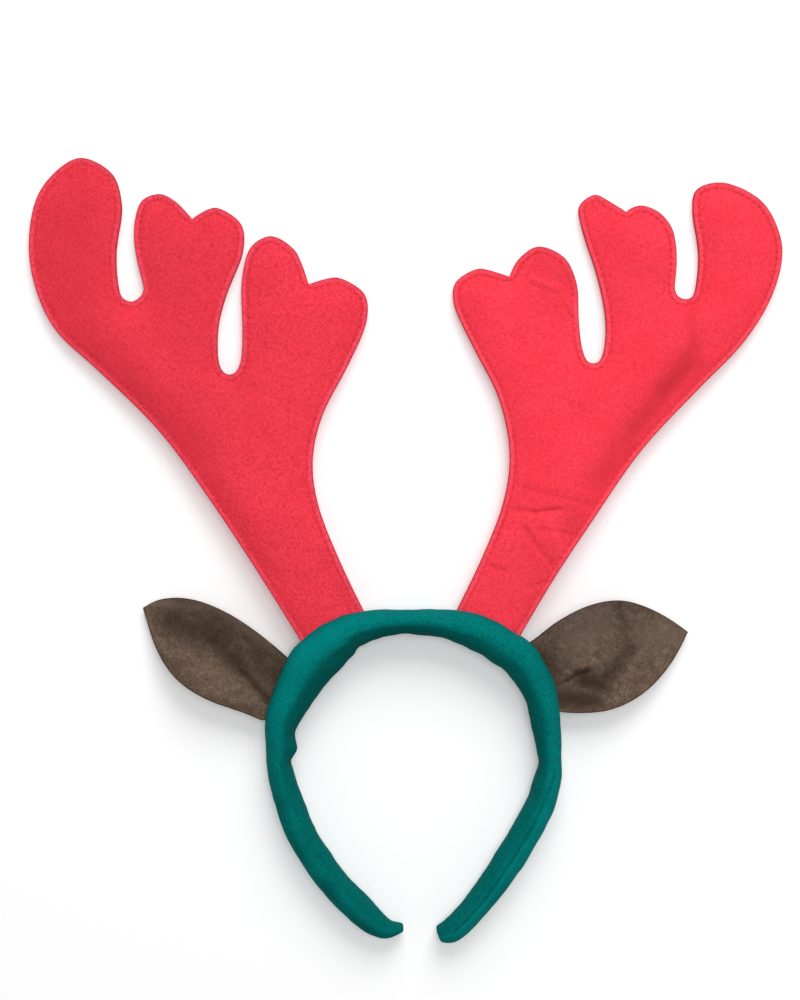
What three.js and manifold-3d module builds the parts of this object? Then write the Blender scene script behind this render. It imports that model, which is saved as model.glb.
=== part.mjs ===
// A reindeer antler headband: a padded felt sleeve bent to a horseshoe, two red felt antlers and two
// brown felt ears. It lies on its back on a table. Millimetres, +X to the right as seen from the front,
// +Y towards the antler tips, +Z up out of the front. The origin is under the middle of its outline, on
// the table.
import * as THREE from "three";
import { mergeVertices } from "three/addons/utils/BufferGeometryUtils.js";
import Module from "manifold-3d";

// The headband
const headbandWidth = 141.6; // across the outside of the sides
const headbandHeight = 159; // from the outside of the crown to the tips
const sleeveThickness = 11.5; // of the padded sleeve at the crown, from the head outwards
const sleeveDepth = 24; // of the padded sleeve at the crown, from back to front
const pressedFlat = 1; // how much of the sleeve's round back is pressed flat on the table
const sleeveSquareness = 2.3; // 2 gives a plain oval section, more gives a squarer one

// The antlers, each two felts sewn together round the edge over thin wadding
const antlerHeight = 223.3; // from the outside of the sleeve to the highest tip of the left antler
const antlerSpread = 164; // across the left antler
const feltThickness = 1.4;
const feltGap = 0.3; // between the two felts at the seam
const seamInset = 2.8; // from the cut edge to the line of stitches
const padLift = 2.2; // how far the wadding lifts each felt in the middle of a tine
const padRise = 9; // the distance from the seam over which the felt rises
const padStart = 26; // the flat root of an antler, before the wadding begins
const antlerRestHeight = 3; // the middle of an antler's thickness above the table, at its tips

// The ears, each one leaf of felt, cupped like a shallow trough
const earLength = 75; // from the outside of the sleeve to the tip of the left ear
const earWidth = 50; // across the flatter ear
const earFelt = 1.8;
const earCup = { left: 15, right: 6.5 }; // how far an edge half a width from the valley stands above it
const earRootHeight = { left: 6.5, right: 8.5 }; // the valley above the table where the ear leaves the sleeve
const earTipHeight = 3; // the valley above the table at the tip
const valleyShift = 5; // how far the valley starts towards the tips of the headband at the root
const pleatDepth = 3; // the pinched pleat at the root of each ear
const pleatWidth = 5;
const pleatLength = 24;

// How felt enters felt
const slotClearance = 0.35; // round each root, inside its pocket in the sleeve

// How finely the curves are cut
const ringSides = 16; // points round the sleeve's section
const ringStep = 9; // between sections along the sleeve
const outlineTurn = THREE.MathUtils.degToRad(12); // the most that an outline turns at one point
const outlineStep = 8; // the longest straight stretch of an outline
const antlerCell = 12; // between points inside an antler
const earCell = 7; // between points inside an ear
const foldStep = 7; // between points along a fold
const foldSpace = 1.5; // the least between any two points of folds
const netSpace = 0.45; // the least from a point inside to the others, as a share of its cell

const colours = { green: 0x00746c, red: 0xe83a4c, brown: 0x5f5044 };

// The sleeve's sections, from the left tip over the crown to the right tip. across is a share of half the
// headband's width, up a share of its height, thick of the sleeve's thickness and deep of its depth.
const sleeveSections = [
  { at: "left tip", across: -0.07, up: 0.032, thick: 0.3, deep: 0.4 },
  { at: "left tip, full", across: -0.185, up: 0.032, thick: 0.83, deep: 0.58 },
  { at: "left leg, foot", across: -0.325, up: 0.074, thick: 1.15, deep: 0.7 },
  { at: "left leg, low", across: -0.535, up: 0.17, thick: 1.21, deep: 0.76 },
  { at: "left leg", across: -0.72, up: 0.285, thick: 1.18, deep: 0.8 },
  { at: "left leg, high", across: -0.84, up: 0.405, thick: 1.19, deep: 0.84 },
  { at: "left side, pinched", across: -0.91, up: 0.53, thick: 1.04, deep: 0.87 },
  { at: "left side, gathered", across: -0.895, up: 0.582, thick: 1.25, deep: 0.88 },
  { at: "left side, pinched again", across: -0.905, up: 0.615, thick: 1.19, deep: 0.9 },
  { at: "left side, below the ear", across: -0.888, up: 0.673, thick: 1.42, deep: 0.93 },
  { at: "left ear root", across: -0.8, up: 0.757, thick: 1.75, deep: 0.96 },
  { at: "left shoulder", across: -0.685, up: 0.836, thick: 2, deep: 0.98 },
  { at: "left antler, outer root", across: -0.557, up: 0.893, thick: 1.88, deep: 1 },
  { at: "left antler root", across: -0.488, up: 0.914, thick: 1.71, deep: 1 },
  { at: "left antler, inner root", across: -0.42, up: 0.935, thick: 1.5, deep: 1 },
  { at: "left of the crown", across: -0.271, up: 0.954, thick: 1.21, deep: 1 },
  { at: "crown, left", across: -0.136, up: 0.962, thick: 1.02, deep: 1 },
  { at: "crown", across: 0, up: 0.964, thick: 1, deep: 1 },
  { at: "crown, right", across: 0.176, up: 0.959, thick: 1.11, deep: 1 },
  { at: "right antler, inner root", across: 0.346, up: 0.944, thick: 1.43, deep: 1 },
  { at: "right antler root", across: 0.495, up: 0.917, thick: 1.54, deep: 1 },
  { at: "right antler, outer root", across: 0.624, up: 0.882, thick: 1.58, deep: 1 },
  { at: "right shoulder", across: 0.725, up: 0.845, thick: 1.62, deep: 0.98 },
  { at: "right ear root", across: 0.814, up: 0.787, thick: 1.46, deep: 0.96 },
  { at: "right side, below the ear", across: 0.868, up: 0.727, thick: 1.32, deep: 0.94 },
  { at: "right side", across: 0.902, up: 0.636, thick: 1.15, deep: 0.9 },
  { at: "right side, pinched", across: 0.92, up: 0.546, thick: 1, deep: 0.88 },
  { at: "right leg, high", across: 0.905, up: 0.486, thick: 1.13, deep: 0.87 },
  { at: "right leg", across: 0.836, up: 0.387, thick: 1.18, deep: 0.84 },
  { at: "right leg, middle", across: 0.662, up: 0.253, thick: 1.19, deep: 0.79 },
  { at: "right leg, low", across: 0.457, up: 0.122, thick: 1.06, deep: 0.74 },
  { at: "right tip, full", across: 0.27, up: 0.033, thick: 1, deep: 0.66 },
  { at: "right tip", across: 0.165, up: 0.013, thick: 0.62, deep: 0.5 },
];

// The antlers' outline, up the outer edge, over the tines and down the inner edge, measured from the place
// where the root leaves the sleeve. Each pair is out, a share of the spread, and up, a share of the height.
const antlerOutline = [
  { at: "outer root", left: [0.07, -0.06], right: [0.062, -0.045], corner: true },
  { at: "outer edge, low", left: [0.213, 0.108], right: [0.169, 0.087] },
  { at: "outer edge, middle", left: [0.352, 0.261], right: [0.287, 0.217] },
  { at: "outer edge, high", left: [0.503, 0.41], right: [0.432, 0.368] },
  { at: "heel, start", left: [0.686, 0.542], right: [0.598, 0.498] },
  { at: "heel", left: [0.814, 0.631], right: [0.74, 0.606] },
  { at: "heel, end", left: [0.876, 0.736], right: [0.825, 0.714] },
  { at: "outer tine, side", left: [0.888, 0.834], right: [0.848, 0.811] },
  { at: "outer tine, shoulder", left: [0.852, 0.935], right: [0.79, 0.904] },
  { at: "outer tine, tip", left: [0.743, 1], right: [0.672, 0.946] },
  { at: "outer tine, inner shoulder", left: [0.645, 0.968], right: [0.595, 0.93] },
  { at: "outer tine, inner side", left: [0.614, 0.898], right: [0.583, 0.882] },
  { at: "outer slot, wall", left: [0.632, 0.801], right: [0.602, 0.8] },
  { at: "outer slot, low", left: [0.627, 0.73], right: [0.595, 0.724] },
  { at: "outer slot, outer corner", left: [0.615, 0.6995], right: [0.584, 0.6995] },
  { at: "outer slot, bottom", left: [0.586, 0.689], right: [0.562, 0.693] },
  { at: "outer slot, inner corner", left: [0.561, 0.6985], right: [0.5395, 0.7] },
  { at: "outer slot, foot", left: [0.55, 0.715], right: [0.53, 0.718] },
  { at: "middle tine, wall", left: [0.571, 0.78], right: [0.538, 0.774] },
  { at: "middle tine, side", left: [0.58, 0.845], right: [0.527, 0.841] },
  { at: "middle tine, shoulder", left: [0.556, 0.907], right: [0.488, 0.88] },
  { at: "middle tine, outer tip", left: [0.503, 0.922], right: [0.435, 0.896] },
  { at: "middle tine, into the notch", left: [0.453, 0.905], right: [0.405, 0.891] },
  { at: "middle notch", left: [0.407, 0.868], right: [0.388, 0.882], corner: true },
  { at: "middle tine, out of the notch", left: [0.376, 0.884], right: [0.34, 0.904] },
  { at: "middle tine, inner tip", left: [0.334, 0.892], right: [0.296, 0.919] },
  { at: "middle tine, inner side", left: [0.263, 0.857], right: [0.25, 0.895] },
  { at: "inner slot, mouth", left: [0.257, 0.797], right: [0.26, 0.839] },
  { at: "inner slot, wall", left: [0.299, 0.721], right: [0.302, 0.746] },
  { at: "inner slot, low wall", left: [0.33, 0.639], right: [0.328, 0.645] },
  { at: "inner slot, low", left: [0.328, 0.555], right: [0.322, 0.58] },
  { at: "inner slot, outer corner", left: [0.313, 0.536], right: [0.307, 0.5585] },
  { at: "inner slot, bottom", left: [0.296, 0.531], right: [0.29, 0.554] },
  { at: "inner slot, inner corner", left: [0.279, 0.536], right: [0.273, 0.5585] },
  { at: "inner slot, foot", left: [0.263, 0.559], right: [0.257, 0.584] },
  { at: "inner tine, wall", left: [0.259, 0.639], right: [0.247, 0.653] },
  { at: "inner tine, side", left: [0.262, 0.737], right: [0.243, 0.729] },
  { at: "inner tine, shoulder", left: [0.234, 0.808], right: [0.204, 0.785] },
  { at: "inner tine, outer tip", left: [0.175, 0.831], right: [0.127, 0.807] },
  { at: "inner tine, into the notch", left: [0.104, 0.8], right: [0.068, 0.778] },
  { at: "inner notch", left: [0.064, 0.727], right: [0.044, 0.742], corner: true },
  { at: "inner tine, out of the notch", left: [0.024, 0.737], right: [0, 0.753] },
  { at: "inner tine, inner tip", left: [-0.024, 0.741], right: [-0.05, 0.759] },
  { at: "inner tine, inner side", left: [-0.1, 0.706], right: [-0.115, 0.729] },
  { at: "inner tine, flank", left: [-0.109, 0.654], right: [-0.121, 0.686] },
  { at: "inner edge, high", left: [-0.047, 0.544], right: [-0.056, 0.58] },
  { at: "inner edge, above the neck", left: [0.021, 0.449], right: [0.012, 0.48] },
  { at: "neck", left: [0.052, 0.352], right: [0.044, 0.362] },
  { at: "inner edge, below the neck", left: [0.038, 0.257], right: [0.027, 0.26] },
  { at: "inner edge, low", left: [-0.03, 0.127], right: [-0.036, 0.139] },
  { at: "inner root", left: [-0.107, 0.01], right: [-0.121, 0.01], corner: true },
];

// The folds in the antlers, where both felts sink, or rise where the depth is negative. Each runs between two
// places, given as in the outline. Depth and width are millimetres.
const antlerFolds = {
  left: [
    { at: "below the outer slot", from: [0.545, 0.61], to: [0.288, 0.503], depth: 0.6, width: 6 },
    { at: "outer root", from: [0.182, 0.116], to: [0.103, 0.02], depth: 0.6, width: 4 },
  ],
  right: [
    { at: "heel", from: [0.587, 0.577], to: [0.306, 0.276], depth: 1.5, width: 6 },
    { at: "below the outer slot", from: [0.581, 0.684], to: [0.593, 0.588], depth: 0.8, width: 3 },
    { at: "across the neck", from: [0.042, 0.229], to: [0.2, 0.237], depth: 0.9, width: 2.5 },
    { at: "up the neck", from: [0.06, 0.285], to: [0.236, 0.186], depth: 0.6, width: 3 },
    { at: "bow in the inner tine", from: [0.142, 0.721], to: [0.259, 0.631], depth: -0.7, width: 3 },
  ],
};

// The folds in the ears. Each end is given as in the outline: how far along and how far aside.
const earFolds = {
  left: [
    { at: "valley", from: [-0.05, -0.33], to: [0.26, -0.21], depth: 0.9, width: 4 },
    { at: "upper hollow", from: [0.24, 0.185], to: [0.72, 0.3], depth: 1.1, width: 7 },
  ],
  right: [
    { at: "ridge from the root", from: [0.02, -0.26], to: [0.26, -0.115], depth: -1.2, width: 2.5 },
    { at: "hollow below the ridge", from: [0.02, -0.535], to: [0.334, -0.6], depth: 1.1, width: 4 },
  ],
};

// The ears' outline, along from the sleeve to the tip, a share of the length, and aside from the line
// between them, a share of half the width, positive towards the antlers.
const earOutline = [
  { at: "lower root", left: [-0.1, -0.62], right: [-0.066, -0.66], corner: true },
  { at: "lower edge, at the sleeve", left: [-0.045, -0.8], right: [0, -0.8] },
  { at: "lower edge", left: [0.09, -0.84], right: [0.18, -0.96] },
  { at: "lower edge, widest", left: [0.325, -0.94], right: [0.32, -1.015] },
  { at: "lower edge, far", left: [0.565, -0.885], right: [0.555, -0.88] },
  { at: "lower edge, near the tip", left: [0.78, -0.57], right: [0.795, -0.44] },
  { at: "tip", left: [0.984, 0], right: [0.934, 0], corner: true },
  { at: "upper edge, near the tip", left: [0.93, 0.25], right: [0.876, 0.23] },
  { at: "upper edge, far", left: [0.8, 0.53], right: [0.73, 0.66] },
  { at: "upper edge, past the middle", left: [0.61, 0.69], right: [0.565, 0.965] },
  { at: "upper edge, widest", left: [0.395, 0.705], right: [0.365, 1.05] },
  { at: "upper edge", left: [0.16, 0.6], right: [0.12, 0.9] },
  { at: "upper edge, at the sleeve", left: [0.018, 0.49], right: [-0.056, 0.665] },
  { at: "upper root", left: [-0.058, 0.43], right: [-0.11, 0.63], corner: true },
];

// A line that leans from each root to its ear's tip, as an angle above the horizontal
const earLean = { left: THREE.MathUtils.degToRad(27.6), right: THREE.MathUtils.degToRad(15.5) };
const outward = { left: -1, right: 1 };

const wasm = await Module();
wasm.setup();

// The share from 0 to 1 by which value has gone from start to end, easing in and out
const ease = (value, start, end) => THREE.MathUtils.smoothstep(value, start, end);

// The places, thicknesses and depths of the sleeve's sections, on one smooth line
const sleeveLine = new THREE.CatmullRomCurve3(
  sleeveSections.map((s) => new THREE.Vector3((s.across * headbandWidth) / 2, s.up * headbandHeight, 0)),
  false,
  "centripetal",
);
const sleeveSizes = new THREE.CatmullRomCurve3(
  sleeveSections.map((s) => new THREE.Vector3(s.thick * sleeveThickness, s.deep * sleeveDepth, 0)),
);

// The sleeve at a section number, which may lie between two: its middle, its outward direction and its sizes
function sleeveAt(number) {
  const share = number / (sleeveSections.length - 1);
  const middle = sleeveLine.getPoint(share);
  const along = sleeveLine.getTangent(share);
  const size = sleeveSizes.getPoint(share);
  return { middle, out: new THREE.Vector3(-along.y, along.x, 0), thick: size.x, deep: size.y };
}

// The point on the outside of the sleeve at the section with that name
function rootOf(name) {
  const section = sleeveAt(sleeveSections.findIndex((s) => s.at === name));
  return section.middle.clone().addScaledVector(section.out, section.thick / 2);
}

// One ring of the sleeve: a rounded oval whose back is pressed flat at height 0
function sleeveRing({ middle, out, thick, deep }) {
  const ring = [];
  for (let i = 0; i < ringSides; i++) {
    const turn = (2 * Math.PI * i) / ringSides;
    const rounded = (v) => Math.sign(v) * Math.abs(v) ** (2 / sleeveSquareness);
    const height = ((deep + pressedFlat) / 2) * (1 + rounded(Math.sin(turn))) - pressedFlat;
    const aside = (thick / 2) * rounded(Math.cos(turn));
    ring.push(middle.clone().addScaledVector(out, aside).setZ(Math.max(height, 0)));
  }
  return ring;
}

// A closed body through rings of points, with a point in the middle of each end
function tubeThroughRings(rings) {
  const sides = rings[0].length;
  const middleOf = (ring) => ring.reduce((sum, p) => sum.add(p), new THREE.Vector3()).divideScalar(sides);
  const points = [...rings.flat(), middleOf(rings[0]), middleOf(rings.at(-1))];
  const [first, last] = [points.length - 2, points.length - 1];
  const faces = [];
  for (let i = 0; i < sides; i++) {
    const next = (i + 1) % sides;
    for (let r = 0; r + 1 < rings.length; r++) {
      const [a, b] = [r * sides + i, r * sides + next];
      faces.push([a, b, a + sides], [b, b + sides, a + sides]);
    }
    const end = (rings.length - 1) * sides;
    faces.push([first, next, i], [last, end + i, end + next]);
  }
  return bodyOf(points, faces);
}

function bodyOf(points, faces) {
  const geometry = new THREE.BufferGeometry().setFromPoints(points);
  geometry.setIndex(faces.flat());
  return geometry;
}

function toManifold(geometry) {
  const merged = mergeVertices(geometry, 1e-4);
  const vertProperties = merged.getAttribute("position").array;
  const triVerts = new Uint32Array(merged.index.array);
  return new wasm.Manifold(new wasm.Mesh({ numProp: 3, vertProperties, triVerts }));
}

function fromManifold(solid) {
  const mesh = solid.getMesh();
  const geometry = new THREE.BufferGeometry();
  geometry.setAttribute("position", new THREE.BufferAttribute(mesh.vertProperties, mesh.numProp));
  geometry.setIndex(new THREE.BufferAttribute(mesh.triVerts, 1));
  return geometry;
}

// A closed outline through marks: smooth at each one except the corners, with points where it turns
function smoothOutline(marks) {
  const corners = marks.flatMap((mark, i) => (mark.corner ? [i] : []));
  const outline = [];
  corners.forEach((start, c) => {
    const end = c + 1 < corners.length ? corners[c + 1] : corners[0] + marks.length;
    const stretch = [];
    for (let i = start; i <= end; i++) stretch.push(marks[i % marks.length].point);
    outline.push(...thinned(fineCurve(stretch)));
  });
  return outline;
}

function fineCurve(stretch) {
  const flat = stretch.map((p) => new THREE.Vector3(p.x, p.y, 0));
  const curve = new THREE.CatmullRomCurve3(flat, false, "centripetal");
  const fine = 24 * (stretch.length - 1);
  return curve.getPoints(fine).map((p) => new THREE.Vector2(p.x, p.y));
}

// The points of a fine curve where it has turned or gone far enough, without its last one
function thinned(fine) {
  const kept = [fine[0]];
  let turned = 0;
  for (let i = 1; i + 1 < fine.length; i++) {
    const before = fine[i].clone().sub(fine[i - 1]);
    const after = fine[i + 1].clone().sub(fine[i]);
    turned += Math.abs(before.angleTo(after));
    if (turned > outlineTurn || fine[i].distanceTo(kept.at(-1)) > outlineStep) {
      kept.push(fine[i]);
      turned = 0;
    }
  }
  if (kept.length > 1 && kept.at(-1).distanceTo(fine.at(-1)) < 1) kept.pop();
  return kept;
}

// How far a point is from a closed outline
function distanceTo(outline, point) {
  let nearest = Infinity;
  outline.forEach((a, i) => {
    const side = outline[(i + 1) % outline.length].clone().sub(a);
    const share = THREE.MathUtils.clamp(point.clone().sub(a).dot(side) / side.lengthSq(), 0, 1);
    nearest = Math.min(nearest, a.clone().addScaledVector(side, share).distanceTo(point));
  });
  return nearest;
}

function isInside(outline, point) {
  let inside = false;
  outline.forEach((a, i) => {
    const b = outline[(i + 1) % outline.length];
    const crosses = a.y > point.y !== b.y > point.y;
    if (crosses && point.x < ((b.x - a.x) * (point.y - a.y)) / (b.y - a.y) + a.x) inside = !inside;
  });
  return inside;
}

// The outline moved inwards by a distance, or outwards by a negative one, point by point
function inset(outline, distance) {
  const turnsLeft = Math.sign(THREE.ShapeUtils.area(outline));
  return outline.map((point, i) => {
    const before = outline.at(i - 1);
    const after = outline[(i + 1) % outline.length];
    const along = after.clone().sub(point).normalize().add(point.clone().sub(before).normalize()).normalize();
    return point.clone().add(new THREE.Vector2(-along.y, along.x).multiplyScalar(distance * turnsLeft));
  });
}

// A fold as a line between two places, each worked out by placeOf from its pair of shares
function placedFolds(folds, placeOf) {
  return folds.map(({ from, to, depth, width }) => ({ from: placeOf(from), to: placeOf(to), depth, width }));
}

// How far all the folds together sink the felt at a point
function foldDepth(folds, point) {
  const sunk = folds.map(({ from, to, depth, width }) => {
    const side = to.clone().sub(from);
    const share = THREE.MathUtils.clamp(point.clone().sub(from).dot(side) / side.lengthSq(), 0, 1);
    const off = from.clone().addScaledVector(side, share).distanceTo(point);
    return depth * Math.exp(-((off / width) ** 2));
  });
  return sunk.reduce((sum, depth) => sum + depth, 0);
}

// Points along the folds and beside them, so that the net can bend there
function foldPoints(folds) {
  return folds.flatMap(({ from, to, width }) => {
    const side = to.clone().sub(from);
    const across = new THREE.Vector2(-side.y, side.x).normalize();
    const steps = Math.max(2, Math.round(side.length() / foldStep));
    const lines = [-width, 0, width];
    return lines.flatMap((off) =>
      Array.from({ length: steps + 1 }, (_, i) => {
        return from.clone().addScaledVector(side, i / steps).addScaledVector(across, off);
      }),
    );
  });
}

// Points on a honeycomb inside an outline and along its folds, none nearer to the outline than margin
function innerPoints(outline, folds, cell, margin) {
  const box = new THREE.Box2().setFromPoints(outline);
  const row = cell * Math.sin(Math.PI / 3);
  const isFree = (point) => isInside(outline, point) && distanceTo(outline, point) > margin;
  const points = [];
  const addSpaced = (point, space) => {
    if (isFree(point) && points.every((other) => other.distanceTo(point) > space)) points.push(point);
  };
  foldPoints(folds).forEach((point) => addSpaced(point, foldSpace));
  for (let j = 0; box.min.y + j * row < box.max.y; j++)
    for (let x = box.min.x + (j % 2) * (cell / 2); x < box.max.x; x += cell)
      addSpaced(new THREE.Vector2(x, box.min.y + j * row), cell * netSpace);
  return points;
}

// Whether point lies in the circle through the corners of a triangle that turns left
function inCircle([a, b, c], point) {
  const [p, q, r] = [a, b, c].map((v) => v.clone().sub(point));
  const cross = (u, v) => u.x * v.y - u.y * v.x;
  return p.lengthSq() * cross(q, r) + q.lengthSq() * cross(r, p) + r.lengthSq() * cross(p, q) > 1e-9;
}

// Delaunay's triangles of a set of points, by putting in one point after another
function delaunay(points) {
  const box = new THREE.Box2().setFromPoints(points);
  const middle = box.getCenter(new THREE.Vector2());
  const reach = 50 * box.getSize(new THREE.Vector2()).length();
  const frame = [90, 210, 330].map((degrees) => {
    const turn = THREE.MathUtils.degToRad(degrees);
    return middle.clone().add(new THREE.Vector2(Math.cos(turn), Math.sin(turn)).multiplyScalar(reach));
  });
  const all = [...points, ...frame];
  let triangles = [[points.length, points.length + 1, points.length + 2]];
  points.forEach((point, n) => {
    const isBroken = (t) => inCircle(t.map((i) => all[i]), point);
    const rim = new Map();
    for (const [a, b, c] of triangles.filter(isBroken))
      for (const [from, to] of [[a, b], [b, c], [c, a]]) {
        if (!rim.delete(`${to},${from}`)) rim.set(`${from},${to}`, [from, to, n]);
      }
    triangles = triangles.filter((t) => !isBroken(t)).concat([...rim.values()]);
  });
  return triangles.filter((t) => Math.max(...t) < points.length);
}

// A flat net of triangles that fills an outline. Each side of the outline that the net missed is halved
// until it is there, so that the rim is closed.
function netInside(outline, inner) {
  let rim = outline;
  for (;;) {
    const points = [...rim, ...inner];
    const triangles = delaunay(points).filter((t) => {
      const centre = t.reduce((sum, i) => sum.add(points[i]), new THREE.Vector2()).divideScalar(3);
      return isInside(rim, centre);
    });
    const sides = new Set(triangles.flatMap(([a, b, c]) => [`${a},${b}`, `${b},${c}`, `${c},${a}`]));
    const halved = rim.flatMap((point, i) => {
      const next = (i + 1) % rim.length;
      return sides.has(`${i},${next}`) ? [point] : [point, point.clone().lerp(rim[next], 0.5)];
    });
    if (halved.length === rim.length) return { points, triangles, rimCount: rim.length };
    rim = halved;
  }
}

// A sheet over a net, between two heights that are each a function of the place
function sheetOver(net, lowAt, highAt) {
  const count = net.points.length;
  const points = [highAt, lowAt].flatMap((heightAt) => {
    return net.points.map((p) => new THREE.Vector3(p.x, p.y, heightAt(p)));
  });
  const faces = net.triangles.flatMap(([a, b, c]) => [[a, b, c], [count + c, count + b, count + a]]);
  for (let i = 0; i < net.rimCount; i++) {
    const next = (i + 1) % net.rimCount;
    faces.push([i, count + i, next], [next, count + i, count + next]);
  }
  return bodyOf(points, faces);
}

const leftTurning = (outline) => (THREE.ShapeUtils.area(outline) < 0 ? outline.reverse() : outline);

// One antler: its net and, at each place, the height of the middle and half the thickness between the felts
function antlerShape(side) {
  const root = rootOf(`${side} antler root`);
  const rootSection = sleeveAt(sleeveSections.findIndex((s) => s.at === `${side} antler root`));
  const placeOf = ([out, up]) => {
    return new THREE.Vector2(root.x + outward[side] * out * antlerSpread, root.y + up * antlerHeight);
  };
  const marks = antlerOutline.map((mark) => ({ point: placeOf(mark[side]), corner: mark.corner }));
  const outline = leftTurning(smoothOutline(marks));
  const folds = placedFolds(antlerFolds[side], placeOf);
  const rootHeight = rootSection.deep / 2;
  const middleAt = (p) => {
    const droop = ease(p.y, root.y, root.y + antlerHeight * 0.8);
    return THREE.MathUtils.lerp(rootHeight, antlerRestHeight, droop) - foldDepth(folds, p);
  };
  const hollowAt = (p) => {
    const fromSeam = distanceTo(outline, p) - seamInset;
    const padded = ease(fromSeam, 0, padRise) * ease(p.y - root.y, padStart / 2, padStart * 2);
    return feltGap / 2 + padLift * padded;
  };
  return { outline, folds, middleAt, hollowAt };
}

function antlerFelts(side) {
  const { outline, folds, middleAt, hollowAt } = antlerShape(side);
  const isOnSeam = (p) => isInside(outline, p) && distanceTo(outline, p) > seamInset * 0.8;
  const seam = inset(outline, seamInset).filter(isOnSeam);
  const inner = innerPoints(outline, folds, antlerCell, seamInset + antlerCell / 4);
  const net = netInside(outline, [...seam, ...inner]);
  const front = sheetOver(
    net,
    (p) => middleAt(p) + hollowAt(p),
    (p) => middleAt(p) + hollowAt(p) + feltThickness,
  );
  // The back felt lies flat where it meets the table.
  const backLow = (p) => Math.max(middleAt(p) - hollowAt(p) - feltThickness, 0);
  const back = sheetOver(net, backLow, (p) => backLow(p) + feltThickness);
  return { front, back };
}

// The pocket that an antler's root needs in the sleeve
function antlerPocket(side) {
  const { outline, middleAt, hollowAt } = antlerShape(side);
  const half = (p) => hollowAt(p) + feltThickness + slotClearance;
  const root = outline.filter((p) => p.y < rootOf(`${side} antler root`).y + padStart);
  const net = netInside(inset(root, -slotClearance), []);
  return sheetOver(net, (p) => middleAt(p) - half(p), (p) => middleAt(p) + half(p));
}

// One ear: its outline and the height of the felt's underside at each place
function earShape(side) {
  const root = rootOf(`${side} ear root`);
  const lean = earLean[side];
  const along = new THREE.Vector2(outward[side] * Math.cos(lean), Math.sin(lean));
  const aside = new THREE.Vector2(-outward[side] * Math.sin(lean), Math.cos(lean));
  const start = new THREE.Vector2(root.x, root.y);
  const placeOf = ([far, wide]) => {
    const beside = start.clone().addScaledVector(aside, (wide * earWidth) / 2);
    return beside.addScaledVector(along, far * earLength);
  };
  const marks = earOutline.map((mark) => ({ point: placeOf(mark[side]), corner: mark.corner }));
  const folds = placedFolds(earFolds[side], placeOf);
  const undersideAt = (p) => {
    const fromRoot = p.clone().sub(start);
    const far = fromRoot.dot(along);
    const valley = -valleyShift * (1 - ease(far, 0, earLength));
    const fromValley = fromRoot.dot(aside) - valley;
    const floor = THREE.MathUtils.lerp(earRootHeight[side], earTipHeight, ease(far, 0, earLength));
    const cup = earCup[side] * ((2 * fromValley) / earWidth) ** 2;
    const pleat = pleatDepth * Math.exp(-((fromValley / pleatWidth) ** 2)) * (1 - ease(far, 0, pleatLength));
    return floor + cup - pleat - foldDepth(folds, p) - earFelt / 2;
  };
  const outline = leftTurning(smoothOutline(marks));
  return { outline, inner: innerPoints(outline, folds, earCell, earCell / 3), undersideAt };
}

function earFeltLeaf(side) {
  const { outline, inner, undersideAt } = earShape(side);
  const net = netInside(outline, inner);
  return sheetOver(net, undersideAt, (p) => undersideAt(p) + earFelt);
}

function earPocket(side) {
  const { outline, inner, undersideAt } = earShape(side);
  const net = netInside(inset(outline, -slotClearance), inner);
  return sheetOver(
    net,
    (p) => undersideAt(p) - slotClearance,
    (p) => undersideAt(p) + earFelt + slotClearance,
  );
}

// The padded sleeve, with a pocket for each root
function sleeve() {
  const last = sleeveSections.length - 1;
  const rings = [];
  for (let number = 0; number < last; number++) {
    const gap = sleeveAt(number).middle.distanceTo(sleeveAt(number + 1).middle);
    const steps = Math.max(1, Math.round(gap / ringStep));
    for (let i = 0; i < steps; i++) rings.push(sleeveRing(sleeveAt(number + i / steps)));
  }
  rings.push(sleeveRing(sleeveAt(last)));
  const pockets = [antlerPocket("left"), antlerPocket("right"), earPocket("left"), earPocket("right")];
  const padded = toManifold(tubeThroughRings(rings));
  return fromManifold(pockets.reduce((solid, pocket) => solid.subtract(toManifold(pocket)), padded));
}

function felt(name, geometry, color) {
  const cloth = new THREE.MeshStandardMaterial({ color, roughness: 0.95, metalness: 0 });
  const mesh = new THREE.Mesh(geometry, cloth);
  mesh.name = name;
  return mesh;
}

const headpiece = new THREE.Group();
headpiece.name = "reindeer_antler_headband";
headpiece.add(felt("headband_sleeve", sleeve(), colours.green));
for (const side of ["left", "right"]) {
  const { front, back } = antlerFelts(side);
  headpiece.add(felt(`antler_${side}_front`, front, colours.red));
  headpiece.add(felt(`antler_${side}_back`, back, colours.red));
  headpiece.add(felt(`ear_${side}`, earFeltLeaf(side), colours.brown));
}

// The origin goes under the middle of the outline.
const middle = new THREE.Box3().setFromObject(headpiece, true).getCenter(new THREE.Vector3());
headpiece.position.set(-middle.x, -middle.y, 0);

export default headpiece;
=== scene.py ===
# %% [markdown]
# # A reindeer antler headband, laid flat
# A hair band inside a padded green felt sleeve, two red antlers of felt sewn over thin wadding, and two
# brown felt ears. Every solid is already in the frame, in metres and in its place. Here each one gets the
# surface that felt really has: soft edges, a sewn line, gathers, creases and a matt, fibrous finish.

# %% Load the frame
import math

import bmesh
import bpy
import numpy as np
from mathutils import Matrix, Vector, noise
from mathutils.bvhtree import BVHTree
from mathutils.kdtree import KDTree


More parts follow.
